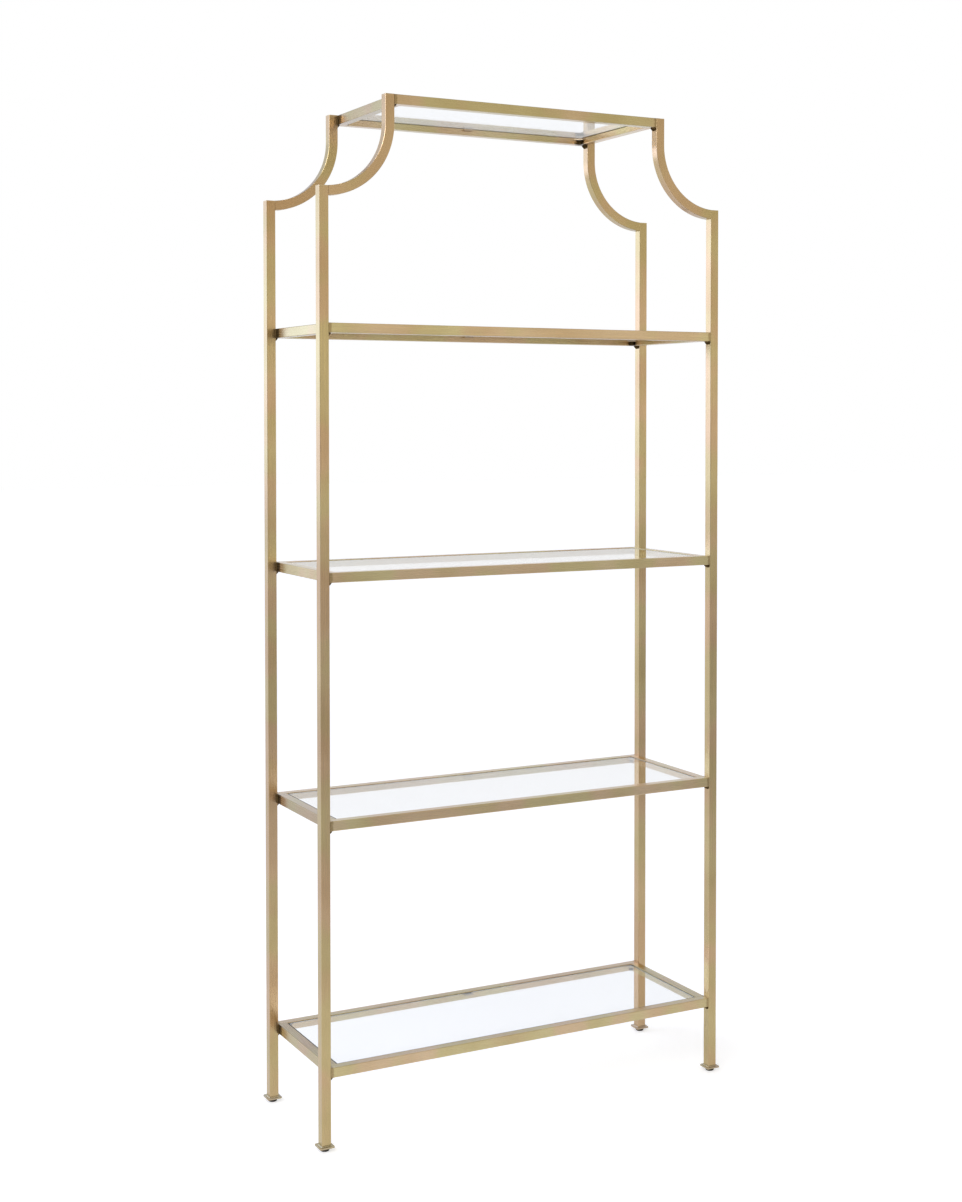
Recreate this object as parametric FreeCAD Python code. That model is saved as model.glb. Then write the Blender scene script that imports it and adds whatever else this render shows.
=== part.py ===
"""Open etagere: four square-tube posts, concave quarter-round shoulders, five glazed frames.

Each frame stands between the posts and is welded to them at its four corners.
Millimetres, +Z up, +X to the right, -Y to the front.  The origin is on the floor under the
middle of the etagere.  Every separate piece is written to its own STEP file in parts/.
"""
import FreeCAD, Part
import math
import os

# ---------------------------------------------------------------- driving dimensions

WIDTH = 900.0                # over the outer faces of the posts, along X
DEPTH = 298.0                # over the outer faces of the posts, along Y
BOTTOM_SHELF_HEIGHT = 158.0  # floor to the top of the lowest frame
SHELF_PITCH = 470.0          # top of one shelf frame to the top of the next
SHELF_COUNT = 4              # shelf frames below the crown frame
CROWN_RISE = 437.0           # top of the highest shelf frame to the top of the crown frame

TUBE = 19.0                  # side of the square tube
WALL = 1.5                   # wall of the square tube
TUBE_EDGE_RADIUS = 1.2       # outer edge radius of the tube
CAP_THICKNESS = 1.5          # plate that closes an open tube end

BEND_RADIUS = 135.5          # centreline of the quarter-round shoulder
UPRIGHT_LENGTH = 55.0        # straight tube above the shoulder, cap included
WELD_LEG = 6.0               # fillet weld under each end of a long rail
WELD_INSET = 2.5             # from the weld's ends to the front and back of the rail

GLASS_THICKNESS = 5.0
GLASS_CLEARANCE = 2.0        # between the pane's edge and the rails around it
GLASS_RECESS = 1.0           # pane's top below the frame's top
GLASS_CORNER_RADIUS = 2.0
PAD_RADIUS = 2.5             # clear bumper under the glass
PAD_THICKNESS = 1.0
LEDGE_THICKNESS = 3.0        # plates that carry the bumpers
GUSSET_LEG = 13.0            # side of the triangular ledge in a frame corner
TAB_LENGTH = 20.0            # ledge at the middle of a long rail
TAB_REACH = 8.0
PAD_INSET = 4.5              # bumper's centre from the rails beside it

FOOT_PLATE_SIZE = 30.0
FOOT_PLATE_THICKNESS = 3.0
FOOT_PLATE_EDGE_RADIUS = 2.0
GLIDE_RADIUS = 10.5
GLIDE_HEIGHT = 7.0
GLIDE_EDGE_RADIUS = 1.2
STEM_RADIUS = 3.0            # levelling screw moulded into the glide
STEM_LENGTH = 24.0           # above the glide
STEM_SEAT_DEPTH = 4.5        # inside the glide
STEM_CLEARANCE = 0.05        # radial, in the plate and the nut
NUT_ACROSS_FLATS = 10.0
NUT_HEIGHT = 5.0

# ---------------------------------------------------------------- derived places

HALF_WIDTH = WIDTH / 2.0
HALF_DEPTH = DEPTH / 2.0
HALF_TUBE = TUBE / 2.0
POST_AXIS_X = HALF_WIDTH - HALF_TUBE
POST_AXIS_Y = HALF_DEPTH - HALF_TUBE
POST_INNER_X = HALF_WIDTH - TUBE
RAIL_INNER_Y = HALF_DEPTH - TUBE

SHELF_TOPS = [BOTTOM_SHELF_HEIGHT + SHELF_PITCH * index for index in range(SHELF_COUNT)]
HEIGHT = SHELF_TOPS[-1] + CROWN_RISE
BEND_CENTRE_Z = HEIGHT - UPRIGHT_LENGTH
POST_TOP = BEND_CENTRE_Z - BEND_RADIUS + HALF_TUBE
UPRIGHT_AXIS_X = POST_AXIS_X - BEND_RADIUS
UPRIGHT_INNER_X = UPRIGHT_AXIS_X - HALF_TUBE

FOOT_TOP = GLIDE_HEIGHT + FOOT_PLATE_THICKNESS
BORE = TUBE - 2.0 * WALL
OVERCUT = 1.0                # how far a cutting tool runs past the face that it opens

CORNERS = {
    "front_left": (-1, -1),
    "front_right": (1, -1),
    "back_left": (-1, 1),
    "back_right": (1, 1),
}

UP = FreeCAD.Vector(0, 0, 1)
ALONG_X = FreeCAD.Vector(1, 0, 0)
ALONG_Y = FreeCAD.Vector(0, 1, 0)


# ---------------------------------------------------------------- shared shapes

def vector(x, y, z):
    """A FreeCAD point or direction."""
    return FreeCAD.Vector(x, y, z)


def block(low, high):
    """A rectangular block between two opposite corners."""
    size = [high[axis] - low[axis] for axis in range(3)]
    return Part.makeBox(size[0], size[1], size[2], vector(*low))


def rounded_face(side_u, side_v, radius, centre, along_u, along_v):
    """A rectangle with rounded corners, centred on a point, as a flat face."""
    points = []
    for turn in range(4):
        sign_u = (1, -1, -1, 1)[turn]
        sign_v = (1, 1, -1, -1)[turn]
        middle_u = sign_u * (side_u / 2.0 - radius)
        middle_v = sign_v * (side_v / 2.0 - radius)
        for step in range(3):
            angle = math.pi / 2.0 * turn + math.pi / 4.0 * step
            u = middle_u + radius * math.cos(angle)
            v = middle_v + radius * math.sin(angle)
            points.append(centre + along_u * u + along_v * v)
    edges = []
    for turn in range(4):
        first, second, third = points[3 * turn:3 * turn + 3]
        following = points[(3 * turn + 3) % 12]
        edges.append(Part.Arc(first, second, third).toShape())
        edges.append(Part.LineSegment(third, following).toShape())
    return Part.Face(Part.Wire(edges))


def square_face(side, centre, along_u, along_v):
    """A plain square face centred on a point."""
    half_u = along_u * (side / 2.0)
    half_v = along_v * (side / 2.0)
    corners = [centre + half_u + half_v, centre - half_u + half_v]
    corners += [centre - half_u - half_v, centre + half_u - half_v]
    return Part.Face(Part.makePolygon(corners + corners[:1]))


def straight_tube(start, direction, length, along_u, along_v):
    """A square tube with rounded outer edges, open at both ends."""
    run = direction * length
    skin = rounded_face(TUBE, TUBE, TUBE_EDGE_RADIUS, start, along_u, along_v).extrude(run)
    bore = square_face(BORE, start, along_u, along_v).extrude(run)
    return skin.cut(bore)


def end_cap(start, direction, along_u, along_v):
    """A plate with the tube's outline, welded over an open end."""
    face = rounded_face(TUBE, TUBE, TUBE_EDGE_RADIUS, start, along_u, along_v)
    return face.extrude(direction * CAP_THICKNESS)


def hexagon(across_flats, height, base):
    """A hexagonal prism standing on its base point."""
    corner_radius = across_flats / math.sqrt(3.0)
    corners = []
    for step in range(6):
        angle = math.pi / 3.0 * step
        corners.append(base + vector(math.cos(angle), math.sin(angle), 0) * corner_radius)
    return Part.Face(Part.makePolygon(corners + corners[:1])).extrude(UP * height)


def moved(shape, place):
    """A copy of a shape carried to a place."""
    copy = shape.copy()
    copy.translate(place)
    return copy


# ---------------------------------------------------------------- the frames' places

class FramePlace:
    """Where one horizontal frame lies: its name, its top and the faces it is welded to."""

    def __init__(self, name, top, half_length):
        self.name = name
        self.top = top
        self.underside = top - TUBE
        self.axis_z = top - HALF_TUBE
        self.half_length = half_length
        self.inner_x = half_length - TUBE


def frame_places():
    """The shelf frames from the bottom up, then the crown frame."""
    places = []
    for index, top in enumerate(SHELF_TOPS):
        places.append(FramePlace("shelf_%d" % (index + 1), top, POST_INNER_X))
    places.append(FramePlace("crown", HEIGHT, UPRIGHT_INNER_X))
    return places


# ---------------------------------------------------------------- posts and shoulders

def post(side, sign_y):
    """One post, from the foot plate to the cap beside the shoulder."""
    start = vector(side * POST_AXIS_X, sign_y * POST_AXIS_Y, FOOT_TOP)
    length = POST_TOP - CAP_THICKNESS - FOOT_TOP
    return straight_tube(start, UP, length, ALONG_X, ALONG_Y)


def shoulder(side, sign_y):
    """The quarter-round tube that leaves the post level and turns up into the crown."""
    centre = vector(side * POST_AXIS_X, sign_y * POST_AXIS_Y, BEND_CENTRE_Z)
    start = centre - UP * BEND_RADIUS
    skin_face = rounded_face(TUBE, TUBE, TUBE_EDGE_RADIUS, start, ALONG_Y, UP)
    bore_face = square_face(BORE, start, ALONG_Y, UP)
    quarter = side * 90.0
    skin = skin_face.revolve(centre, ALONG_Y, quarter)
    bore = bore_face.revolve(centre, ALONG_Y, quarter)
    upright_start = vector(side * UPRIGHT_AXIS_X, sign_y * POST_AXIS_Y, BEND_CENTRE_Z)
    length = UPRIGHT_LENGTH - CAP_THICKNESS
    upright = straight_tube(upright_start, UP, length, ALONG_X, ALONG_Y)
    bend = skin.cut(bore)
    behind_post = block((-TUBE, -TUBE, -BEND_RADIUS), (TUBE, TUBE, BEND_RADIUS))
    behind_post = moved(behind_post, start + ALONG_X * (side * (TUBE - HALF_TUBE)))
    return bend.cut(behind_post).fuse(upright).removeSplitter()


def post_caps():
    """Caps on the posts and on the crown's uprights."""
    caps = []
    for side, sign_y in CORNERS.values():
        post_end = vector(side * POST_AXIS_X, sign_y * POST_AXIS_Y, POST_TOP - CAP_THICKNESS)
        upright_end = vector(side * UPRIGHT_AXIS_X, sign_y * POST_AXIS_Y, HEIGHT - CAP_THICKNESS)
        caps.append(end_cap(post_end, UP, ALONG_X, ALONG_Y))
        caps.append(end_cap(upright_end, UP, ALONG_X, ALONG_Y))
    return caps


# ---------------------------------------------------------------- frames

def long_rail(place, sign_y):
    """Front or back rail, its ends against two posts or uprights."""
    start = vector(-place.half_length, sign_y * POST_AXIS_Y, place.axis_z)
    return straight_tube(start, ALONG_X, 2.0 * place.half_length, ALONG_Y, UP)


def side_rail(place, side):
    """Left or right rail, welded between the two long rails."""
    start = vector(side * (place.half_length - HALF_TUBE), -RAIL_INNER_Y, place.axis_z)
    return straight_tube(start, ALONG_Y, 2.0 * RAIL_INNER_Y, ALONG_X, UP)


def weld(place, side, sign_y):
    """The fillet weld between a post or upright and the underside of a long rail."""
    length = TUBE - 2.0 * WELD_INSET
    y = sign_y * POST_AXIS_Y - length / 2.0
    x = side * place.half_length
    root = vector(x, y, place.underside)
    on_rail = vector(x - side * WELD_LEG, y, place.underside)
    on_post = vector(x, y, place.underside - WELD_LEG)
    outline = Part.makePolygon([root, on_rail, on_post, root])
    return Part.Face(outline).extrude(ALONG_Y * length)


def glass_underside(place):
    """Height at which the pane rests on its bumpers."""
    return place.top - GLASS_RECESS - GLASS_THICKNESS


def pane(place):
    """The loose glass pane that fills a frame."""
    size_x = 2.0 * (place.inner_x - GLASS_CLEARANCE)
    size_y = 2.0 * (RAIL_INNER_Y - GLASS_CLEARANCE)
    centre = vector(0, 0, glass_underside(place))
    face = rounded_face(size_x, size_y, GLASS_CORNER_RADIUS, centre, ALONG_X, ALONG_Y)
    return face.extrude(UP * GLASS_THICKNESS)


def ledges(place):
    """Triangular gussets in the corners and a tab at the middle of each long rail."""
    top = glass_underside(place) - PAD_THICKNESS
    base = top - LEDGE_THICKNESS
    plates = []
    for side, sign_y in CORNERS.values():
        x = side * place.inner_x
        y = sign_y * RAIL_INNER_Y
        corner = vector(x, y, base)
        along_long_rail = vector(x - side * GUSSET_LEG, y, base)
        along_side_rail = vector(x, y - sign_y * GUSSET_LEG, base)
        outline = Part.makePolygon([corner, along_long_rail, along_side_rail, corner])
        plates.append(Part.Face(outline).extrude(UP * LEDGE_THICKNESS))
    for sign_y in (-1, 1):
        near = sign_y * RAIL_INNER_Y
        far = sign_y * (RAIL_INNER_Y - TAB_REACH)
        low = (-TAB_LENGTH / 2.0, min(near, far), base)
        high = (TAB_LENGTH / 2.0, max(near, far), top)
        plates.append(block(low, high))
    return plates


def pads(place):
    """Clear round bumpers between the ledges and the glass."""
    base = glass_underside(place) - PAD_THICKNESS
    discs = []
    for side, sign_y in CORNERS.values():
        x = side * (place.inner_x - PAD_INSET)
        y = sign_y * (RAIL_INNER_Y - PAD_INSET)
        discs.append(Part.makeCylinder(PAD_RADIUS, PAD_THICKNESS, vector(x, y, base), UP))
    for sign_y in (-1, 1):
        y = sign_y * (RAIL_INNER_Y - PAD_INSET)
        discs.append(Part.makeCylinder(PAD_RADIUS, PAD_THICKNESS, vector(0, y, base), UP))
    return discs


# ---------------------------------------------------------------- feet

def foot_plate(side, sign_y):
    """The square plate welded under a post, with a hole for the levelling screw."""
    base = vector(side * POST_AXIS_X, sign_y * POST_AXIS_Y, GLIDE_HEIGHT)
    size = FOOT_PLATE_SIZE
    face = rounded_face(size, size, FOOT_PLATE_EDGE_RADIUS, base, ALONG_X, ALONG_Y)
    plate = face.extrude(UP * FOOT_PLATE_THICKNESS)
    return plate.cut(stem_bore(base, FOOT_PLATE_THICKNESS))


def stem_bore(base, height):
    """The hole that the levelling screw turns in."""
    radius = STEM_RADIUS + STEM_CLEARANCE
    return Part.makeCylinder(radius, height + 2.0 * OVERCUT, base - UP * OVERCUT, UP)


def weld_nut(side, sign_y):
    """The nut on the foot plate, inside the post."""
    base = vector(side * POST_AXIS_X, sign_y * POST_AXIS_Y, FOOT_TOP)
    return hexagon(NUT_ACROSS_FLATS, NUT_HEIGHT, base).cut(stem_bore(base, NUT_HEIGHT))


def glide(side, sign_y):
    """The moulded foot that stands on the floor."""
    base = vector(side * POST_AXIS_X, sign_y * POST_AXIS_Y, 0)
    disc = Part.makeCylinder(GLIDE_RADIUS, GLIDE_HEIGHT, base, UP)
    rims = [edge for edge in disc.Edges if edge.BoundBox.ZLength < 1e-6]
    disc = disc.makeFillet(GLIDE_EDGE_RADIUS, rims)
    seat = base + UP * (GLIDE_HEIGHT - STEM_SEAT_DEPTH)
    return disc.cut(Part.makeCylinder(STEM_RADIUS, STEM_SEAT_DEPTH + OVERCUT, seat, UP))


def stem(side, sign_y):
    """The levelling screw, its lower end moulded into the glide."""
    start = vector(side * POST_AXIS_X, sign_y * POST_AXIS_Y, GLIDE_HEIGHT - STEM_SEAT_DEPTH)
    return Part.makeCylinder(STEM_RADIUS, STEM_SEAT_DEPTH + STEM_LENGTH, start, UP)


# ---------------------------------------------------------------- assembly

def build():
    """Every node's name with its solid or its group of solids."""
    nodes = {}
    for name, (side, sign_y) in CORNERS.items():
        nodes["post_" + name] = [post(side, sign_y)]
        nodes["shoulder_" + name] = [shoulder(side, sign_y)]
        nodes["foot_plate_" + name] = [foot_plate(side, sign_y)]
        nodes["leveller_glide_" + name] = [glide(side, sign_y)]
        nodes["leveller_stem_" + name] = [stem(side, sign_y)]
    corners = CORNERS.values()
    bumpers = []
    welds = []
    for place in frame_places():
        nodes[place.name + "_front_rail"] = [long_rail(place, -1)]
        nodes[place.name + "_back_rail"] = [long_rail(place, 1)]
        nodes[place.name + "_left_rail"] = [side_rail(place, -1)]
        nodes[place.name + "_right_rail"] = [side_rail(place, 1)]
        nodes[place.name + "_ledges"] = ledges(place)
        nodes[place.name + "_glass"] = [pane(place)]
        bumpers += pads(place)
        welds += [weld(place, side, sign_y) for side, sign_y in corners]
    nodes["tube_end_caps"] = post_caps()
    nodes["glass_bumpers"] = bumpers
    nodes["rail_welds"] = welds
    nodes["foot_nuts"] = [weld_nut(side, sign_y) for side, sign_y in corners]
    return nodes


def write(nodes):
    """Write one STEP file per node and print what each holds."""
    os.makedirs("parts", exist_ok=True)
    for name, solids in sorted(nodes.items()):
        shape = solids[0] if len(solids) == 1 else Part.makeCompound(solids)
        shape.exportStep("parts/%s.step" % name)
        valid = all(solid.isValid() for solid in solids)
        print(name, len(shape.Solids), "solids", round(shape.Volume), "mm3", "valid", valid)


write(build())
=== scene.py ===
"""Open etagere in satin gold square tube with five clear glass shelves.

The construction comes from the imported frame.  This script gives each piece its finish, adds the
fine forms that belong to the surface, and sets up a plain white studio.  Metres, +Z up.
"""

import math

import bpy
import numpy as np
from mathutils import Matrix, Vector


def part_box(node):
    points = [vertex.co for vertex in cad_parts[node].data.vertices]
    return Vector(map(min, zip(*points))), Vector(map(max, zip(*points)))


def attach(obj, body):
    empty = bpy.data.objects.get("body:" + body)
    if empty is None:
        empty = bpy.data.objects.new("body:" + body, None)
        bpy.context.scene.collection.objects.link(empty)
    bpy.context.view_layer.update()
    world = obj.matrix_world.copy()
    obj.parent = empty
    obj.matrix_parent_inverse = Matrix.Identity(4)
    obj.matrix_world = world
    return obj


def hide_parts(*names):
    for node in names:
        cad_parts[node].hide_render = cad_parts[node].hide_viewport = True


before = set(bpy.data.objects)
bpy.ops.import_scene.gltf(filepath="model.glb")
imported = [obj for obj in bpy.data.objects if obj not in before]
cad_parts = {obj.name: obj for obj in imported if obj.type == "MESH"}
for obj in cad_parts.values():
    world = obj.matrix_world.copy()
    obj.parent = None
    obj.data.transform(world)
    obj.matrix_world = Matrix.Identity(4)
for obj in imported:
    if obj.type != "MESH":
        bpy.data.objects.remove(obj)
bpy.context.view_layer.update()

# ------------------------------------------------------------------ posts
# Four uprights of 19 mm square steel tube, linished along their length, plated a pale gold and
# lacquered.  The frame already holds the tube's true shape, so only the finish is made here.

CORNERS = ("front_left", "front_right", "back_left", "back_right")
POST_PALE = (0.690, 0.515, 0.260, 1.0)
POST_DEEP = (0.600, 0.425, 0.195, 1.0)
GOLD_WORN = (0.790, 0.680, 0.450, 1.0)
# Painted shade: the darker gold of the rail ends at the shaded joints beside the posts.
GOLD_JOINT_SHADE = (0.380, 0.265, 0.115, 1.0)
GRAIN_ACROSS = 1400.0     # linishing lines per metre across the tube, in noise cells
GRAIN_ALONG = 9.0         # noise cells per metre along a line
CLOUD_SCALE = 7.0         # slow drift of the plating's tone, cells per metre
MOTTLE_SCALE = 90.0       # fine unevenness of the lacquer, cells per metre
HUE_SCALE = 11.0          # drift of the plating's hue, cells per metre
HUE_ROSY = (1.045, 0.965, 1.030, 1.0)
HUE_OLIVE = (0.965, 1.025, 0.920, 1.0)
EDGE_WEAR_REACH = 0.0012  # how far the paler wear comes in from an edge
EDGE_WEAR = (0.15, 0.60)  # how much of an edge is worn, from place to place
EDGE_TURN = (0.90, 0.999)  # cosine of the turn to the rounded normal, at an edge and on the flat
SATIN_ROUGHNESS = (0.20, 0.32)
SATIN_BUMP = 0.10
SATIN_DEPTH = 0.00005     # of the linishing lines
LACQUER_WEIGHT = 0.8
SHADE_LACQUER_LOSS = 0.6        # less lacquer where the joints get painted shade
LACQUER_ROUGHNESS = 0.22
LACQUER_IOR = 1.7


def shader(name):
    """An empty node material: the material, its nodes, its links and its Principled shader."""
    material = bpy.data.materials.new(name)
    material.use_nodes = True
    nodes = material.node_tree.nodes
    links = material.node_tree.links
    principled = nodes["Principled BSDF"]
    return material, nodes, links, principled


def object_place(nodes):
    """The place of each point in its object, which is its place in the frame."""
    return nodes.new("ShaderNodeTexCoord").outputs["Object"]


def maths(nodes, links, operation, first, second):
    """A Math node on two sockets or numbers; gives its result socket."""
    node = nodes.new("ShaderNodeMath")
    node.operation = operation
    for socket, value in zip(node.inputs, (first, second)):
        if isinstance(value, (int, float)):
            socket.default_value = value
        else:
            links.new(value, socket)
    return node.outputs[0]


def blend_colours(nodes, links, factor, first, second):
    """A colour between two, either of them a socket or a written colour."""
    node = nodes.new("ShaderNodeMix")
    node.data_type = "RGBA"
    if factor is not None:
        links.new(factor, node.inputs["Factor"])
    for socket, value in ((node.inputs[6], first), (node.inputs[7], second)):
        if isinstance(value, tuple):
            socket.default_value = value
        else:
            links.new(value, socket)
    return node.outputs[2]


def multiply_colours(nodes, links, first, second):
    """The product of two colour sockets."""
    result = blend_colours(nodes, links, None, first, second)
    result.node.blend_type = "MULTIPLY"
    result.node.inputs["Factor"].default_value = 1.0
    return result


def remap(nodes, links, value, low, high, to_low, to_high):
    """A value carried from one range to another and held at its ends."""
    node = nodes.new("ShaderNodeMapRange")
    node.interpolation_type = "SMOOTHSTEP"
    links.new(value, node.inputs["Value"])
    numbers = (("From Min", low), ("From Max", high), ("To Min", to_low), ("To Max", to_high))
    for socket, number in numbers:
        node.inputs[socket].default_value = number
    return node.outputs["Result"]


def spread(nodes, links, value, to_low, to_high, half=0.2):
    """Noise, which lies mostly within half of 0.5, carried to a range."""
    return remap(nodes, links, value, 0.5 - half, 0.5 + half, to_low, to_high)


def noise(nodes, links, vector, scale, detail=2.0):
    """Fractal noise read at a vector."""
    node = nodes.new("ShaderNodeTexNoise")
    node.inputs["Scale"].default_value = scale
    node.inputs["Detail"].default_value = detail
    links.new(vector, node.inputs["Vector"])
    return node.outputs["Fac"]


def straight_grain(nodes, links, place, axis):
    """Object coordinates squeezed across a tube, so that noise draws out along its axis."""
    mapping = nodes.new("ShaderNodeMapping")
    scale = [GRAIN_ACROSS] * 3
    scale["xyz".index(axis)] = GRAIN_ALONG
    mapping.inputs["Scale"].default_value = scale
    links.new(place, mapping.inputs["Vector"])
    return mapping.outputs["Vector"]


def gold_finish(name, grain, pale, deep, painted_shade=None, shade_colour=GOLD_JOINT_SHADE):
    """Satin gold plate under lacquer.

    grain(nodes, links, place) gives the grain's vector.  The third argument gives how much painted
    shade darkens the metal at a joint, from 0 to 1, and the fourth is the colour of that painted
    shade.
    """
    material, nodes, links, principled = shader(name)
    place = object_place(nodes)
    lines = noise(nodes, links, grain(nodes, links, place), 1.0)
    cloud = noise(nodes, links, place, CLOUD_SCALE)
    mottle = noise(nodes, links, place, MOTTLE_SCALE, detail=3.0)
    bevel = nodes.new("ShaderNodeBevel")
    bevel.samples = 4
    bevel.inputs["Radius"].default_value = EDGE_WEAR_REACH
    geometry = nodes.new("ShaderNodeNewGeometry")
    facing = nodes.new("ShaderNodeVectorMath")
    facing.operation = "DOT_PRODUCT"
    links.new(bevel.outputs["Normal"], facing.inputs[0])
    links.new(geometry.outputs["Normal"], facing.inputs[1])
    edge = remap(nodes, links, facing.outputs["Value"], *EDGE_TURN, 1.0, 0.0)
    worn = spread(nodes, links, mottle, *EDGE_WEAR, half=0.15)
    wear = maths(nodes, links, "MULTIPLY", edge, worn)
    tone = spread(nodes, links, cloud, 0.0, 1.0)
    plated = blend_colours(nodes, links, tone, deep, pale)
    drift = noise(nodes, links, place, HUE_SCALE, detail=1.0)
    rosy_to_olive = spread(nodes, links, drift, 0.0, 1.0, half=0.12)
    hue = blend_colours(nodes, links, rosy_to_olive, HUE_ROSY, HUE_OLIVE)
    plated = multiply_colours(nodes, links, plated, hue)
    # Painted shade at the joints: the colour turns towards the shade colour, with less wear and
    # lacquer.
    if painted_shade:
        shade_amount = painted_shade(nodes, links, place)
        plated = blend_colours(nodes, links, shade_amount, plated, shade_colour)
        wear = maths(nodes, links, "MULTIPLY", wear, maths(nodes, links, "SUBTRACT", 1.0, shade_amount))
        lost = maths(nodes, links, "MULTIPLY", shade_amount, SHADE_LACQUER_LOSS)
        coat = maths(nodes, links, "SUBTRACT", LACQUER_WEIGHT, lost)
        links.new(coat, principled.inputs["Coat Weight"])
    links.new(blend_colours(nodes, links, wear, plated, GOLD_WORN), principled.inputs["Base Color"])
    satin = spread(nodes, links, lines, *SATIN_ROUGHNESS, half=0.25)
    links.new(satin, principled.inputs["Roughness"])
    bump = nodes.new("ShaderNodeBump")
    bump.inputs["Strength"].default_value = SATIN_BUMP
    bump.inputs["Distance"].default_value = SATIN_DEPTH
    links.new(maths(nodes, links, "ADD", lines, mottle), bump.inputs["Height"])
    links.new(bump.outputs["Normal"], principled.inputs["Normal"])
    principled.inputs["Metallic"].default_value = 1.0
    principled.inputs["Coat Weight"].default_value = LACQUER_WEIGHT
    principled.inputs["Coat Roughness"].default_value = LACQUER_ROUGHNESS
    principled.inputs["Coat IOR"].default_value = LACQUER_IOR
    return material


def axis_finish(name, axis, pale, deep, painted_shade=None, shade_colour=GOLD_JOINT_SHADE):
    """The gold finish for pieces that run along one axis."""
    def grain(nodes, links, place):
        """The grain along that axis."""
        return straight_grain(nodes, links, place, axis)

    return gold_finish(name, grain, pale, deep, painted_shade, shade_colour)


def dress(node_name, material):
    """Give a frame node its finish."""
    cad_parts[node_name].material_slots[0].material = material


gold_upright = axis_finish("gold_posts", "z", POST_PALE, POST_DEEP)
for corner in CORNERS:
    dress("post_" + corner, gold_upright)

# ------------------------------------------------------------------ shoulders
# Quarter-round bends of the same tube, rolled cold, that leave each post level and turn up into
# the crown.  The linishing follows the bend, so its grain is read round the bend's centre.


def bent_grain(nodes, links, place, centre_x, centre_z, bend_radius):
    """Grain round a bend: radius, depth and arc length about an axis along Y."""
    parts = nodes.new("ShaderNodeSeparateXYZ")
    links.new(place, parts.inputs[0])
    across = maths(nodes, links, "SUBTRACT", parts.outputs["X"], centre_x)
    up = maths(nodes, links, "SUBTRACT", parts.outputs["Z"], centre_z)
    across_squared = maths(nodes, links, "MULTIPLY", across, across)
    up_squared = maths(nodes, links, "MULTIPLY", up, up)
    squared = maths(nodes, links, "ADD", across_squared, up_squared)
    radius = maths(nodes, links, "SQRT", squared, 0.0)
    angle = maths(nodes, links, "ARCTAN2", up, across)
    vector = nodes.new("ShaderNodeCombineXYZ")
    links.new(maths(nodes, links, "MULTIPLY", radius, GRAIN_ACROSS), vector.inputs["X"])
    links.new(maths(nodes, links, "MULTIPLY", parts.outputs["Y"], GRAIN_ACROSS), vector.inputs["Y"])
    links.new(maths(nodes, links, "MULTIPLY", angle, GRAIN_ALONG * bend_radius), vector.inputs["Z"])
    return vector.outputs["Vector"]


for side in ("left", "right"):
    post_low, post_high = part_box("post_front_" + side)
    shoulder_low, shoulder_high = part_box("shoulder_front_" + side)
    tube = post_high.x - post_low.x
    bend_radius = shoulder_high.x - shoulder_low.x   # from the post's inner face to the upright's
    centre_x = (post_low.x + post_high.x) / 2
    centre_z = shoulder_low.z + bend_radius + tube / 2

    def grain(nodes, links, place, x=centre_x, z=centre_z, radius=bend_radius):
        """The grain about this side's bend centre."""
        return bent_grain(nodes, links, place, x, z, radius)

    gold_bend = gold_finish("gold_shoulders_" + side, grain, POST_PALE, POST_DEEP)
    dress("shoulder_front_" + side, gold_bend)
    dress("shoulder_back_" + side, gold_bend)

# ------------------------------------------------------------------ shelf frames
# Five flat frames of the same gold tube: long front and back rails between the posts, and two side
# rails between those.  They are welded to the posts, and painted shade darkens the gold at the ends,
# where the joints lie in shade.

PLACES = ("shelf_1", "shelf_2", "shelf_3", "shelf_4", "crown")
# Painted reflection: the rails get a paler gold than the posts of the same tube, for the brighter
# sheen of their lengthwise grain.
RAIL_LIT_PALE = (0.750, 0.600, 0.335, 1.0)
RAIL_LIT_DEEP = (0.660, 0.500, 0.250, 1.0)
# Painted shade: near-black gold in the nook beside each post and in the back right corner.
GOLD_NOOK_SHADE = (0.075, 0.045, 0.012, 1.0)
# Painted shade at the ends of the long rails, where they meet the posts in shade.
END_SHADE_REACH = 0.007        # from the end of a long rail, where it is welded to a post
END_SHADE_FADE = 0.003
END_SHADE_DEPTH = 0.75
END_SHADE_WANDER = 0.001       # of the painted shade's edge, to either side
END_SHADE_SCALE = 220.0        # of that wandering, in cells per metre
# Painted shade on the outer faces of the side rails, in the dark nook beside each post.
NOOK_SHADE_REACH = 0.023   # from the end of a side rail, on its outer face beside the post
NOOK_SHADE_FADE = 0.008
NOOK_SHADE_DEPTH = 0.97
FACE_DEPTH = (0.0018, 0.0008)   # below the outer face, where that painted shade starts and is full
LEFT_LIGHT_TONES = (0.85, 0.76, 1.0, 0.90, 0.78)   # painted light and shade: each side rail paler or deeper by how the light falls on it
RIGHT_LIGHT_TONES = (0.95, 1.0, 1.10, 1.0, 1.20)
TONE_LIMIT = 0.96
CORNER_SHADE_PLACES = ("shelf_4", "crown")   # where painted shade darkens the back right corner
CORNER_SHADE_REACH = (0.011, 0.019)          # fully shaded up to the first, untouched beyond the second
CORNER_SHADE_INWARD = 0.006                  # from the middle of the side rail to the burnt spot
CORNER_SHADE_RISE = 0.004                    # from the underside of the frame
CORNER_SHADE_DEPTH = 0.98
CORNER_SHADE_WANDER = 0.003
CORNER_SHADE_SCALE = 320.0


def painted_corner_shade(nodes, links, place, centre):
    """Painted shade round a corner joint, ragged at its edge."""
    away = nodes.new("ShaderNodeVectorMath")
    away.operation = "DISTANCE"
    links.new(place, away.inputs[0])
    away.inputs[1].default_value = centre
    ragged = noise(nodes, links, place, CORNER_SHADE_SCALE)
    ragged = spread(nodes, links, ragged, -CORNER_SHADE_WANDER, CORNER_SHADE_WANDER)
    distance = maths(nodes, links, "ADD", away.outputs["Value"], ragged)
    return remap(nodes, links, distance, *CORNER_SHADE_REACH, CORNER_SHADE_DEPTH, 0.0)


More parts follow.
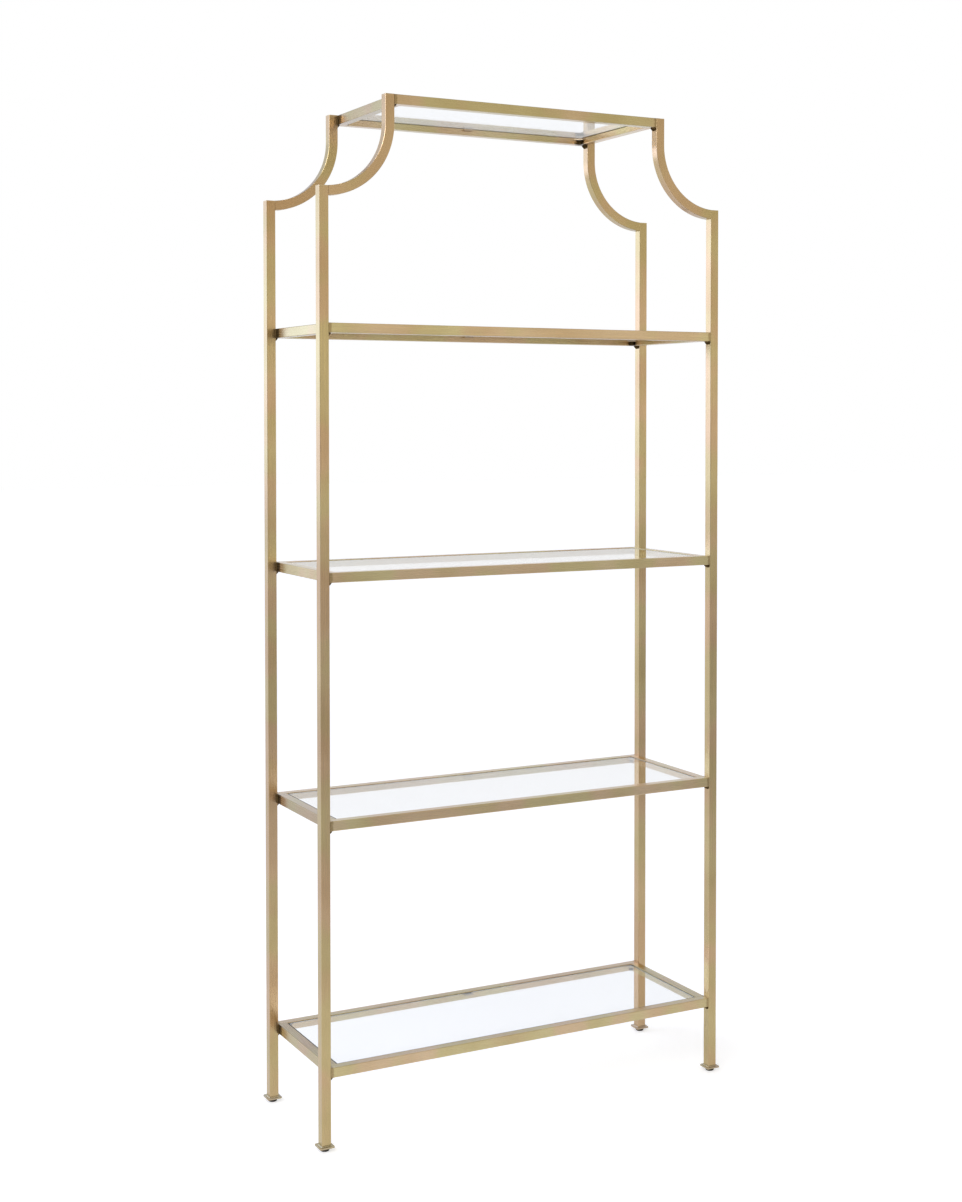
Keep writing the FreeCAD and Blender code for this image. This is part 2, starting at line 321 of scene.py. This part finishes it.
def painted_shade_at_ends(half_length, spot=None):
    """Painted shade that fades in over the last few millimetres at both ends of a long rail."""
    def shade_amount(nodes, links, place):
        """How much painted shade each point gets, by its distance from the middle of the rail."""
        parts = nodes.new("ShaderNodeSeparateXYZ")
        links.new(place, parts.inputs[0])
        ripple = noise(nodes, links, place, END_SHADE_SCALE)
        wander = spread(nodes, links, ripple, -END_SHADE_WANDER, END_SHADE_WANDER)
        distance = maths(nodes, links, "ABSOLUTE", parts.outputs["X"], 0.0)
        distance = maths(nodes, links, "ADD", distance, wander)
        start = half_length - END_SHADE_REACH
        near_end = remap(nodes, links, distance, start, start + END_SHADE_FADE, 0.0, END_SHADE_DEPTH)
        if spot:
            dark_shade = painted_corner_shade(nodes, links, place, spot)
            near_end = maths(nodes, links, "MAXIMUM", near_end, dark_shade)
        return near_end

    return shade_amount


def painted_shade_beside_posts(half_length, half_depth, spot=None):
    """Painted shade at both ends of a side rail, on the outer face only."""
    def shade_amount(nodes, links, place):
        """How much painted shade each point gets, by its distance from the rail's middle and outer
        face.
        """
        parts = nodes.new("ShaderNodeSeparateXYZ")
        links.new(place, parts.inputs[0])
        along = maths(nodes, links, "ABSOLUTE", parts.outputs["Y"], 0.0)
        outward = maths(nodes, links, "ABSOLUTE", parts.outputs["X"], 0.0)
        start = half_depth - NOOK_SHADE_REACH
        full = start + NOOK_SHADE_FADE
        near_end = remap(nodes, links, along, start, full, 0.0, NOOK_SHADE_DEPTH)
        below, at_face = (half_length - depth for depth in FACE_DEPTH)
        on_face = remap(nodes, links, outward, below, at_face, 0.0, 1.0)
        painted_shade = maths(nodes, links, "MULTIPLY", near_end, on_face)
        if spot:
            dark_shade = painted_corner_shade(nodes, links, place, spot)
            painted_shade = maths(nodes, links, "MAXIMUM", painted_shade, dark_shade)
        return painted_shade

    return shade_amount


def toned(colour, tone):
    """A colour made paler or deeper, for painted light or shade."""
    return tuple(min(part * tone, TONE_LIMIT) for part in colour[:3]) + (1.0,)


for place, left_tone, right_tone in zip(PLACES, LEFT_LIGHT_TONES, RIGHT_LIGHT_TONES):
    rail_low, rail_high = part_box(place + "_front_rail")
    side_low, side_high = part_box(place + "_right_rail")
    shade_amount = painted_shade_at_ends(rail_high.x)
    gold_long = axis_finish("gold_long_rails_" + place, "x", RAIL_LIT_PALE, RAIL_LIT_DEEP, shade_amount)
    dress(place + "_front_rail", gold_long)
    spot = None
    # Painted shade: a dark spot in the back right corner of these frames.
    if place in CORNER_SHADE_PLACES:
        middle = (side_low.x + side_high.x) / 2
        spot = (middle - CORNER_SHADE_INWARD, side_high.y, rail_low.z + CORNER_SHADE_RISE)
        shade_amount = painted_shade_at_ends(rail_high.x, spot)
        gold_long = axis_finish("gold_back_rail_" + place, "x", RAIL_LIT_PALE, RAIL_LIT_DEEP, shade_amount, GOLD_NOOK_SHADE)
    dress(place + "_back_rail", gold_long)
    for side, tone, side_spot in (("left", left_tone, None), ("right", right_tone, spot)):
        name = "gold_" + side + "_rail_" + place
        shade_amount = painted_shade_beside_posts(rail_high.x, side_high.y, side_spot)
        pale = toned(RAIL_LIT_PALE, tone)
        deep = toned(RAIL_LIT_DEEP, tone)
        dress(place + "_" + side + "_rail", axis_finish(name, "y", pale, deep, shade_amount, GOLD_NOOK_SHADE))
dress("tube_end_caps", axis_finish("gold_caps", "x", POST_PALE, POST_DEEP))

# ------------------------------------------------------------------ glass
# Loose panes of 5 mm clear toughened glass.  Their long edges are ground flat and the arrises
# are taken off, which leaves a narrow frosted green line round a clear pane.

ARRIS = 0.0007
PANE_CORNER_RADIUS = 0.002
CORNER_STEPS = 5
GLASS_IOR = 1.5
GLASS_HAZE = 0.01        # how much rougher the haziest places are
GLASS_HAZE_SCALE = 40.0
GLASS_TINT = (0.975, 0.990, 0.988, 1.0)
GROUND_TINT = (0.30, 0.38, 0.36, 1.0)
GROUND_ROUGHNESS = 0.25


def rounded_outline(low, high, radius, inset):
    """Points round a rectangle with quarter-circle corners, pulled in by inset."""
    quarter = np.linspace(0.0, math.pi / 2, CORNER_STEPS)
    turns = (np.arange(4)[:, None] * math.pi / 2 + quarter).ravel()
    sign_x = np.repeat([1, -1, -1, 1], CORNER_STEPS)
    sign_y = np.repeat([1, 1, -1, -1], CORNER_STEPS)
    middle = ((low.x + high.x) / 2, (low.y + high.y) / 2)
    reach = ((high.x - low.x) / 2 - radius, (high.y - low.y) / 2 - radius)
    x = middle[0] + sign_x * reach[0] + (radius - inset) * np.cos(turns)
    y = middle[1] + sign_y * reach[1] + (radius - inset) * np.sin(turns)
    return np.stack([x, y], axis=1)


def band_faces(rows, columns):
    """Quads between rows of points, each row closing on itself."""
    row, column = np.meshgrid(np.arange(rows - 1), np.arange(columns), indexing="ij")
    following = (column + 1) % columns
    corners = (row * columns + column, row * columns + following)
    corners += ((row + 1) * columns + following, (row + 1) * columns + column)
    return np.stack(corners, axis=-1).reshape(-1, 4).tolist()


def new_piece(name, points, faces, materials, smooth=False):
    """A mesh object at the origin from points and faces in the row frame."""
    mesh = bpy.data.meshes.new(name)
    mesh.from_pydata(np.asarray(points).tolist(), [], faces)
    mesh.validate()
    for material in materials:
        mesh.materials.append(material)
    mesh.polygons.foreach_set("use_smooth", [smooth] * len(mesh.polygons))
    piece = bpy.data.objects.new(name, mesh)
    bpy.context.scene.collection.objects.link(piece)
    return piece


def glass_finish(name, colour, roughness):
    """Clear glass of one tint and polish."""
    material, nodes, links, principled = shader(name)
    haze = noise(nodes, links, object_place(nodes), GLASS_HAZE_SCALE)
    hazed = spread(nodes, links, haze, roughness, roughness + GLASS_HAZE)
    links.new(hazed, principled.inputs["Roughness"])
    principled.inputs["Base Color"].default_value = colour
    principled.inputs["Transmission Weight"].default_value = 1.0
    principled.inputs["IOR"].default_value = GLASS_IOR
    return material


clear_glass = glass_finish("clear_glass", GLASS_TINT, 0.0)
ground_edge = glass_finish("ground_glass_edge", GROUND_TINT, GROUND_ROUGHNESS)


def pane(name, node):
    """A pane: four closed outlines stacked as arris, edge and arris, with flat caps."""
    low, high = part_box(node)
    levels = ((low.z, ARRIS), (low.z + ARRIS, 0.0), (high.z - ARRIS, 0.0), (high.z, ARRIS))
    rows = []
    for height, inset in levels:
        outline = rounded_outline(low, high, PANE_CORNER_RADIUS, inset)
        rows.append(np.column_stack([outline, np.full(len(outline), height)]))
    count = len(rows[0])
    faces = band_faces(len(rows), count)
    edge_faces = len(faces)
    faces.append(list(range(count))[::-1])
    faces.append(list(range(3 * count, 4 * count)))
    piece = new_piece(name, np.concatenate(rows), faces, [clear_glass, ground_edge])
    slots = [1] * edge_faces + [0, 0]
    piece.data.polygons.foreach_set("material_index", slots)
    return piece


for place in PLACES:
    sheet = pane(place + "_pane_glass", place + "_glass")
    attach(sheet, place + "_pane")
    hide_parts(place + "_glass")

# ------------------------------------------------------------------ ledges and bumpers
# Gussets and tabs of 3 mm gold plate welded inside each frame, with clear domed bumpers on them
# that cushion the glass.

BUMPER_RADIUS = 0.0025
BUMPER_HEIGHT = 0.001
BUMPER_INSET = 0.0025   # from the edges of the pane to a bumper's centre
BUMPER_COLUMNS = 24
DOME_TURNS = np.linspace(0.15, 1.0, 7) * math.pi / 2   # up the dome, from its skirt to its top
DOME_CLOSING = 0.93      # leaves a small flat on top
BUMPER_TINT = (0.86, 0.88, 0.87, 1.0)
BUMPER_CLEARNESS = 0.8
BUMPER_IOR = 1.45
BUMPER_ROUGHNESS = (0.12, 0.22)
BUMPER_MILK_SCALE = 300.0
PLATE_PALE = (0.610, 0.500, 0.315, 1.0)
PLATE_DEEP = (0.480, 0.385, 0.235, 1.0)

gold_plate = axis_finish("gold_plates", "x", PLATE_PALE, PLATE_DEEP)
for place in PLACES:
    dress(place + "_ledges", gold_plate)


def lofted(rows, places):
    """Points and faces of closed outlines stacked into a solid with flat ends, at each place."""
    rows = np.asarray(rows)
    count, columns = rows.shape[:2]
    quads = np.array(band_faces(count, columns))
    first = np.arange(columns)[::-1][None]
    last = np.arange((count - 1) * columns, count * columns)[None]
    steps = np.arange(len(places))[:, None, None] * count * columns
    faces = []
    for block in (quads, first, last):
        faces += (block[None] + steps).reshape(-1, block.shape[1]).tolist()
    points = rows.reshape(1, -1, 3) + np.asarray(places)[:, None]
    return points.reshape(-1, 3), faces


def revolved(radii, heights, columns):
    """Round outlines about the Z axis, one for each radius and height."""
    turns = np.arange(columns) * 2 * math.pi / columns
    radii = np.asarray(radii)[:, None]
    heights = np.broadcast_to(np.asarray(heights)[:, None], (len(heights), columns))
    return np.stack([radii * np.cos(turns), radii * np.sin(turns), heights], axis=-1)


def bumper_places():
    """The foot of every bumper: the four corners and the two long middles of each pane."""
    found = []
    for place in PLACES:
        low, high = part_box(place + "_glass")
        base = low.z - BUMPER_HEIGHT
        for x in (low.x + BUMPER_INSET, 0.0, high.x - BUMPER_INSET):
            found += [(x, low.y + BUMPER_INSET, base), (x, high.y - BUMPER_INSET, base)]
    return found


dome_radii = [BUMPER_RADIUS] + list(BUMPER_RADIUS * np.cos(DOME_TURNS * DOME_CLOSING))
dome_heights = [0.0] + list(BUMPER_HEIGHT * np.sin(DOME_TURNS))
points, faces = lofted(revolved(dome_radii, dome_heights, BUMPER_COLUMNS), bumper_places())

clear_bumper, nodes, links, principled = shader("clear_bumper")
milky = noise(nodes, links, object_place(nodes), BUMPER_MILK_SCALE)
links.new(spread(nodes, links, milky, *BUMPER_ROUGHNESS), principled.inputs["Roughness"])
principled.inputs["Base Color"].default_value = BUMPER_TINT
principled.inputs["Transmission Weight"].default_value = BUMPER_CLEARNESS
principled.inputs["IOR"].default_value = BUMPER_IOR
bumpers = new_piece("domed_bumpers", points, faces, [clear_bumper], smooth=True)
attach(bumpers, "frame")
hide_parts("glass_bumpers")

# ------------------------------------------------------------------ welds
# Steel fillet welds: one under each end of a long rail, one beside each post at every frame and
# one in each inner corner of a frame, left as they were laid.  Their near-black colour is painted
# shade for the dark joints under and beside the rails.

# Painted shade: the beads are near black, for the shade under and beside the joints.
WELD_SHADE_PALE = (0.170, 0.110, 0.042, 1.0)
WELD_SHADE_DEEP = (0.070, 0.042, 0.014, 1.0)
WELD_LEG = 0.006
WELD_LENGTH = 0.014
WELD_SAG = 0.16         # how far the bead's face falls short of a quarter round
WELD_RIPPLE = 0.05      # of the leg, one for each step of the torch
WELD_STEP = 0.0014
NOOK_LEG = 0.0035       # beside a post, down the outer end of a side rail
NOOK_LENGTH = 0.0175
CORNER_LEG = 0.0055     # down the inner corners of a frame, under the gussets
CORNER_LENGTH = 0.008
CORNER_DEPTH = 0.0145   # from the top of the frame to the middle of that weld
BEAD_ROWS = 61          # outlines along a bead
BEAD_POINTS = 9         # across its face
BEAD_END_LOSS = 0.5     # of the leg, at both ends
BEAD_END_POWER = 8      # how late along the bead that loss sets in
WELD_SPOT_SCALE = 700.0     # cells of dark spotting in the welds' painted shade, per metre
WELD_ROUGHNESS = (0.50, 0.70)
WELD_METALLIC = 0.85
WELD_SPECULAR = 0.3

shade_weld, nodes, links, principled = shader("welds_painted_shade")
weld_spots = noise(nodes, links, object_place(nodes), WELD_SPOT_SCALE, detail=3.0)
spotted = spread(nodes, links, weld_spots, 0.0, 1.0, half=0.15)
dark_shade = blend_colours(nodes, links, spotted, WELD_SHADE_DEEP, WELD_SHADE_PALE)
links.new(dark_shade, principled.inputs["Base Color"])
links.new(spread(nodes, links, weld_spots, *WELD_ROUGHNESS), principled.inputs["Roughness"])
principled.inputs["Metallic"].default_value = WELD_METALLIC
principled.inputs["Specular IOR Level"].default_value = WELD_SPECULAR


def bead(root, leg, length, first, second):
    """A rippled fillet centred on a root, its legs along two directions at right angles.

    At a turn t from one leg to the other the face lies at leg * (1 - sag * sin 2t), and the leg
    itself swells by a cosine along the weld and shrinks towards both ends.
    """
    along = np.linspace(-0.5, 0.5, BEAD_ROWS) * length
    ends = 1.0 - np.abs(2 * along / length) ** BEAD_END_POWER * BEAD_END_LOSS
    swollen = leg * ends * (1 + WELD_RIPPLE * np.cos(2 * math.pi * along / WELD_STEP))
    turn = np.linspace(0.0, math.pi / 2, BEAD_POINTS)
    reach = swollen[:, None] * (1 - WELD_SAG * np.sin(2 * turn))
    nothing = np.zeros((len(along), 1))
    on_first = np.concatenate([nothing, reach * np.cos(turn)], axis=1)
    on_second = np.concatenate([nothing, reach * np.sin(turn)], axis=1)
    axis = np.cross(first, second)
    rows = on_first[..., None] * first + on_second[..., None] * second
    rows = rows + along[:, None, None] * axis + np.asarray(root)
    return lofted(rows, [(0.0, 0.0, 0.0)])


def frame_welds(place):
    """Every weld of one frame: under its long rails, beside the posts and in its inner corners."""
    low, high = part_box(place + "_front_rail")
    side_low, side_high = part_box(place + "_right_rail")
    beads = []
    for side in (-1.0, 1.0):
        inward = np.array([-side, 0.0, 0.0])
        for rail in ("_front_rail", "_back_rail"):
            rail_low, rail_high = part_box(place + rail)
            front_or_back = 1.0 if rail_low.y > 0 else -1.0
            to_middle = np.array([0.0, -front_or_back, 0.0])
            down = np.array([0.0, 0.0, -1.0])
            y = (rail_low.y + rail_high.y) / 2
            beads.append(bead((side * high.x, y, low.z), WELD_LEG, WELD_LENGTH, inward, down))
            inner_y = front_or_back * side_high.y
            middle = (low.z + high.z) / 2
            nook = (side * high.x, inner_y, middle)
            beads.append(bead(nook, NOOK_LEG, NOOK_LENGTH, -inward, to_middle))
            corner = (side * side_low.x, inner_y, high.z - CORNER_DEPTH)
            beads.append(bead(corner, CORNER_LEG, CORNER_LENGTH, inward, to_middle))
    return beads


def joined(solids):
    """One list of points and one of faces from several solids."""
    points = np.concatenate([solid[0] for solid in solids])
    faces = []
    count = 0
    for solid_points, solid_faces in solids:
        faces += [(np.asarray(face) + count).tolist() for face in solid_faces]
        count += len(solid_points)
    return points, faces


points, faces = joined([weld for place in PLACES for weld in frame_welds(place)])
welds = new_piece("rail_fillet_welds", points, faces, [shade_weld])
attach(welds, "frame")
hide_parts("rail_welds")

# ------------------------------------------------------------------ feet
# A square plate is welded under each post.  A levelling screw runs up through it into a nut, and
# ends below in a dark moulded glide.

FOOT_WELD_LEG = 0.0024
FOOT_WELD_COLUMNS = 160
FOOT_WELD_STEPS = 44      # ripples round a post
FOOT_WELD_RIPPLE = 0.08   # of the leg
FOOT_WELD_PROFILE = ((0.0, 0.0), (1.0, 0.0), (0.60, 0.22), (0.30, 0.52), (0.0, 1.0))
POST_EDGE_RADIUS = 0.0012
GLIDE_COLUMNS = 120
GLIDE_FLUTES = 20
GLIDE_FLUTE_DEPTH = 0.0004
GLIDE_RADII = np.array([0.0078, 0.0084, 0.0088, 0.0096, 0.0103, 0.0105, 0.0105, 0.0102])
GLIDE_HEIGHTS = np.array([0.0, 0.0004, 0.0014, 0.0036, 0.0050, 0.0056, 0.0066, 0.0070])
FLUTE_SHARES = np.array([0.0, 0.0, 1.0, 1.0, 0.4, 0.0, 0.0, 0.0])   # of the depth, at each height
ZINC = (0.60, 0.61, 0.62, 1.0)
ZINC_ROUGHNESS = (0.22, 0.40)
ZINC_SPANGLE_SCALE = 500.0
MOULDING = (0.030, 0.024, 0.016, 1.0)
MOULDING_ROUGHNESS = (0.45, 0.62)
MOULDING_PORE_SCALE = 1500.0


def evenly(outline, count):
    """A closed outline read again at even steps along its length."""
    closed = np.concatenate([outline, outline[:1]])
    run = np.concatenate([[0.0], np.cumsum(np.hypot(*np.diff(closed, axis=0).T))])
    reach = np.arange(count) * run[-1] / count
    return np.stack([np.interp(reach, run, closed[:, 0]), np.interp(reach, run, closed[:, 1])], axis=1)


def foot_weld(corner):
    """A rippled fillet round the foot of a post, from profile points swept round its outline."""
    low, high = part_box("post_" + corner)
    turns = np.arange(FOOT_WELD_COLUMNS) * 2 * math.pi / FOOT_WELD_COLUMNS
    swell = 1 + FOOT_WELD_RIPPLE * np.cos(FOOT_WELD_STEPS * turns)
    inner = evenly(rounded_outline(low, high, POST_EDGE_RADIUS, 0.0), FOOT_WELD_COLUMNS)
    outer = evenly(rounded_outline(low, high, POST_EDGE_RADIUS, -FOOT_WELD_LEG), FOOT_WELD_COLUMNS)
    rows = []
    for out, rise in FOOT_WELD_PROFILE:
        reach = (out * swell)[:, None]
        height = low.z + FOOT_WELD_LEG * rise * swell
        rows.append(np.column_stack([inner + (outer - inner) * reach, height]))
    points = np.concatenate(rows + rows[:1])
    return points, band_faces(len(FOOT_WELD_PROFILE) + 1, FOOT_WELD_COLUMNS)


for corner in CORNERS:
    dress("foot_plate_" + corner, gold_plate)
    points, faces = foot_weld(corner)
    ring = new_piece("foot_weld_" + corner, points, faces, [gold_plate], smooth=True)
    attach(ring, "frame")

bright_zinc, nodes, links, principled = shader("bright_zinc")
spangle = noise(nodes, links, object_place(nodes), ZINC_SPANGLE_SCALE)
links.new(spread(nodes, links, spangle, *ZINC_ROUGHNESS), principled.inputs["Roughness"])
principled.inputs["Base Color"].default_value = ZINC
principled.inputs["Metallic"].default_value = 1.0
dress("foot_nuts", bright_zinc)

moulded_plastic, nodes, links, principled = shader("moulded_plastic")
pores = noise(nodes, links, object_place(nodes), MOULDING_PORE_SCALE)
links.new(spread(nodes, links, pores, *MOULDING_ROUGHNESS), principled.inputs["Roughness"])
principled.inputs["Base Color"].default_value = MOULDING


def fluted_rows():
    """Outlines of a glide: rings about its axis, pressed in by a cosine where it is fluted."""
    turns = np.arange(GLIDE_COLUMNS) * 2 * math.pi / GLIDE_COLUMNS
    outward = np.stack([np.cos(turns), np.sin(turns), np.zeros(GLIDE_COLUMNS)], axis=-1)
    flute = GLIDE_FLUTE_DEPTH * (np.cos(GLIDE_FLUTES * turns) - 1) / 2
    pressed = FLUTE_SHARES[:, None, None] * flute[None, :, None] * outward[None]
    return revolved(GLIDE_RADII, GLIDE_HEIGHTS, GLIDE_COLUMNS) + pressed


glide_rows = fluted_rows()
for corner in CORNERS:
    dress("leveller_stem_" + corner, bright_zinc)
    low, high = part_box("leveller_glide_" + corner)
    centre = ((low.x + high.x) / 2, (low.y + high.y) / 2, low.z)
    points, faces = lofted(glide_rows, [centre])
    fluted = new_piece("fluted_glide_" + corner, points, faces, [moulded_plastic], smooth=True)
    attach(fluted, "leveller_" + corner)
    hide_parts("leveller_glide_" + corner)

# ------------------------------------------------------------------ studio
# A white floor, one large soft lamp above on the left and in front, and a room whose level differs
# with direction, which the polished faces pick up.  Seen directly or through glass it is white.

FLOOR_HALF = 30.0
FLOOR_COLOUR = (0.63, 0.62, 0.61, 1.0)
FLOOR_GLOW = 0.62         # lifts the floor to white where it is seen as background
GLOW_THROUGH = 0.32       # the same, seen through glass
GLOW_NEAR = 0.26          # the floor's light in a polished face, round the object
GLOW_BEHIND = 0.36        # the same, behind the object
RIGHT_SHARE = 0.55        # of GLOW_BEHIND, on the right
GLOW_FAR = 0.44           # the same light, far behind on the right
NEAR_Y = (-2.2, -0.5)     # where on the floor each of these sets in, in metres
BEHIND_Y = (1.5, 5.0)
RIGHT_X = (0.5, 2.5)
FAR_Y = (6.0, 9.0)
FAR_RIGHT_X = (2.0, 4.0)
WHITE = (1.0, 1.0, 1.0, 1.0)
BEHIND_LEFT_LOW = (1.25, 1.34, 1.46, 1.0)
BEHIND_LEFT_HIGH = (0.64, 0.66, 0.68, 1.0)
BEHIND_FAR_LEFT = (1.64, 1.82, 2.50, 1.0)
BEHIND_RIGHT_LOW = (0.85, 0.84, 0.83, 1.0)
BEHIND_RIGHT_HIGH = (0.48, 0.51, 0.62, 1.0)
BEHIND_RIGHT_BELOW = (0.60, 0.56, 0.46, 1.0)
FRONT_LEFT = (0.34, 0.33, 0.30, 1.0)
FRONT_RIGHT_LOW = (1.16, 1.12, 1.02, 1.0)
FRONT_RIGHT_HIGH = (0.56, 0.52, 0.43, 1.0)
HIGH_UP = (0.12, 0.45)         # where each of these colours gives way to the next, as parts of
ABOVE_PANEL_UP = (0.09, 0.17)  # a direction across, into the depth or up
BELOW_UP = (-0.04, 0.0)
LEVEL_UP = (0.0, 0.10)
FAR_LEFT_ACROSS = (-0.62, -0.42)
RIGHT_BEHIND_ACROSS = (-0.25, 0.25)
RIGHT_IN_FRONT_ACROSS = (-0.25, 0.20)
BACK_DEEP = (-0.55, 0.25)
LAMP_PLACE = (-2.6, -2.4, 3.4)
LAMP_TARGET = (0.0, 0.0, 1.0)
LAMP_SIZE = (2.2, 1.6)
LAMP_POWER = 60.0              # watts

floor_points = [(-FLOOR_HALF, -FLOOR_HALF, 0.0), (FLOOR_HALF, -FLOOR_HALF, 0.0)]
floor_points += [(FLOOR_HALF, FLOOR_HALF, 0.0), (-FLOOR_HALF, FLOOR_HALF, 0.0)]


def floor_glow(nodes, links):
    """The floor's own light: even as background, and uneven where a polished face shows it."""
    light_path = nodes.new("ShaderNodeLightPath").outputs
    direct = maths(nodes, links, "MULTIPLY", light_path["Is Camera Ray"], FLOOR_GLOW)
    through = maths(nodes, links, "MULTIPLY", light_path["Is Transmission Ray"], GLOW_THROUGH)
    background = maths(nodes, links, "ADD", direct, through)
    parts = nodes.new("ShaderNodeSeparateXYZ")
    links.new(object_place(nodes), parts.inputs[0])
    behind = remap(nodes, links, parts.outputs["Y"], *BEHIND_Y, 0.0, GLOW_BEHIND)
    to_right = remap(nodes, links, parts.outputs["X"], *RIGHT_X, 1.0, RIGHT_SHARE)
    behind = maths(nodes, links, "MULTIPLY", behind, to_right)
    far = remap(nodes, links, parts.outputs["Y"], *FAR_Y, 0.0, GLOW_FAR)
    far_right = remap(nodes, links, parts.outputs["X"], *FAR_RIGHT_X, 0.0, 1.0)
    far = maths(nodes, links, "MULTIPLY", far, far_right)
    behind = maths(nodes, links, "MAXIMUM", behind, far)
    near = remap(nodes, links, parts.outputs["Y"], *NEAR_Y, 0.0, GLOW_NEAR)
    glowing = maths(nodes, links, "MAXIMUM", behind, near)
    reflected = maths(nodes, links, "MULTIPLY", light_path["Is Glossy Ray"], glowing)
    return maths(nodes, links, "ADD", background, reflected)


material, nodes, links, principled = shader("studio_floor")
nodes.remove(principled)
matt = nodes.new("ShaderNodeBsdfDiffuse")
matt.inputs["Color"].default_value = FLOOR_COLOUR
glow = nodes.new("ShaderNodeEmission")
glow.inputs["Color"].default_value = WHITE
links.new(floor_glow(nodes, links), glow.inputs["Strength"])
both = nodes.new("ShaderNodeAddShader")
links.new(matt.outputs[0], both.inputs[0])
links.new(glow.outputs[0], both.inputs[1])
links.new(both.outputs[0], nodes["Material Output"].inputs["Surface"])
floor = new_piece("studio_floor", floor_points, [[0, 1, 2, 3]], [material])

world = bpy.data.worlds.new("studio")
bpy.context.scene.world = world
world.use_nodes = True
nodes = world.node_tree.nodes
links = world.node_tree.links
background = nodes["Background"]
direction = nodes.new("ShaderNodeSeparateXYZ")
links.new(nodes.new("ShaderNodeTexCoord").outputs["Generated"], direction.inputs[0])
across, deep, up = (direction.outputs[axis] for axis in "XYZ")
height = remap(nodes, links, up, *HIGH_UP, 0.0, 1.0)
above_panel = remap(nodes, links, up, *ABOVE_PANEL_UP, 0.0, 1.0)
behind_left = blend_colours(nodes, links, above_panel, BEHIND_LEFT_LOW, BEHIND_LEFT_HIGH)
to_far_left = remap(nodes, links, across, *FAR_LEFT_ACROSS, 1.0, 0.0)
behind_left = blend_colours(nodes, links, to_far_left, behind_left, BEHIND_FAR_LEFT)
behind_right = blend_colours(nodes, links, height, BEHIND_RIGHT_LOW, BEHIND_RIGHT_HIGH)
below_level = remap(nodes, links, up, *BELOW_UP, 1.0, 0.0)
behind_right = blend_colours(nodes, links, below_level, behind_right, BEHIND_RIGHT_BELOW)
to_right_behind = remap(nodes, links, across, *RIGHT_BEHIND_ACROSS, 0.0, 1.0)
behind = blend_colours(nodes, links, to_right_behind, behind_left, behind_right)
to_right_in_front = remap(nodes, links, across, *RIGHT_IN_FRONT_ACROSS, 0.0, 1.0)
near_level = remap(nodes, links, up, *LEVEL_UP, 0.0, 1.0)
front_right = blend_colours(nodes, links, near_level, FRONT_RIGHT_LOW, FRONT_RIGHT_HIGH)
in_front = blend_colours(nodes, links, to_right_in_front, FRONT_LEFT, front_right)
to_back = remap(nodes, links, deep, *BACK_DEEP, 0.0, 1.0)
room = blend_colours(nodes, links, to_back, in_front, behind)
light_path = nodes.new("ShaderNodeLightPath").outputs
plain = maths(nodes, links, "ADD", light_path["Is Camera Ray"], light_path["Is Transmission Ray"])
links.new(blend_colours(nodes, links, plain, room, WHITE), background.inputs["Color"])
background.inputs["Strength"].default_value = 1.0

lamp_data = bpy.data.lights.new("key", "AREA")
lamp_data.shape = "RECTANGLE"
lamp_data.size, lamp_data.size_y = LAMP_SIZE
lamp_data.energy = LAMP_POWER
lamp = bpy.data.objects.new("key", lamp_data)
lamp.location = LAMP_PLACE
towards = Vector(LAMP_TARGET) - Vector(LAMP_PLACE)
lamp.rotation_euler = towards.to_track_quat("-Z", "Y").to_euler()
bpy.context.scene.collection.objects.link(lamp)

# ------------------------------------------------------------------ camera
# Standing to the left of the front, a little above mid height, and looking slightly down.  The
# shift frames the whole object.

CAMERA_PLACE = (-1.7117, -3.2624, 1.3963)
CAMERA_TURN = math.radians(28.296)    # to the right of straight ahead
CAMERA_DIP = math.radians(1.604)      # below level
CAMERA_LENS = 53.50                   # mm
CAMERA_SENSOR = 36.0                  # mm, along the longer side of the picture
CAMERA_SHIFT = (-0.0283, -0.1138)

camera_data = bpy.data.cameras.new("camera")
camera_data.lens = CAMERA_LENS
camera_data.sensor_width = CAMERA_SENSOR
camera_data.shift_x, camera_data.shift_y = CAMERA_SHIFT
camera = bpy.data.objects.new("camera", camera_data)
camera.location = CAMERA_PLACE
camera.rotation_euler = (math.pi / 2 - CAMERA_DIP, 0.0, -CAMERA_TURN)
bpy.context.scene.collection.objects.link(camera)
bpy.context.scene.camera = camera
bpy.context.scene.view_settings.view_transform = "Standard"
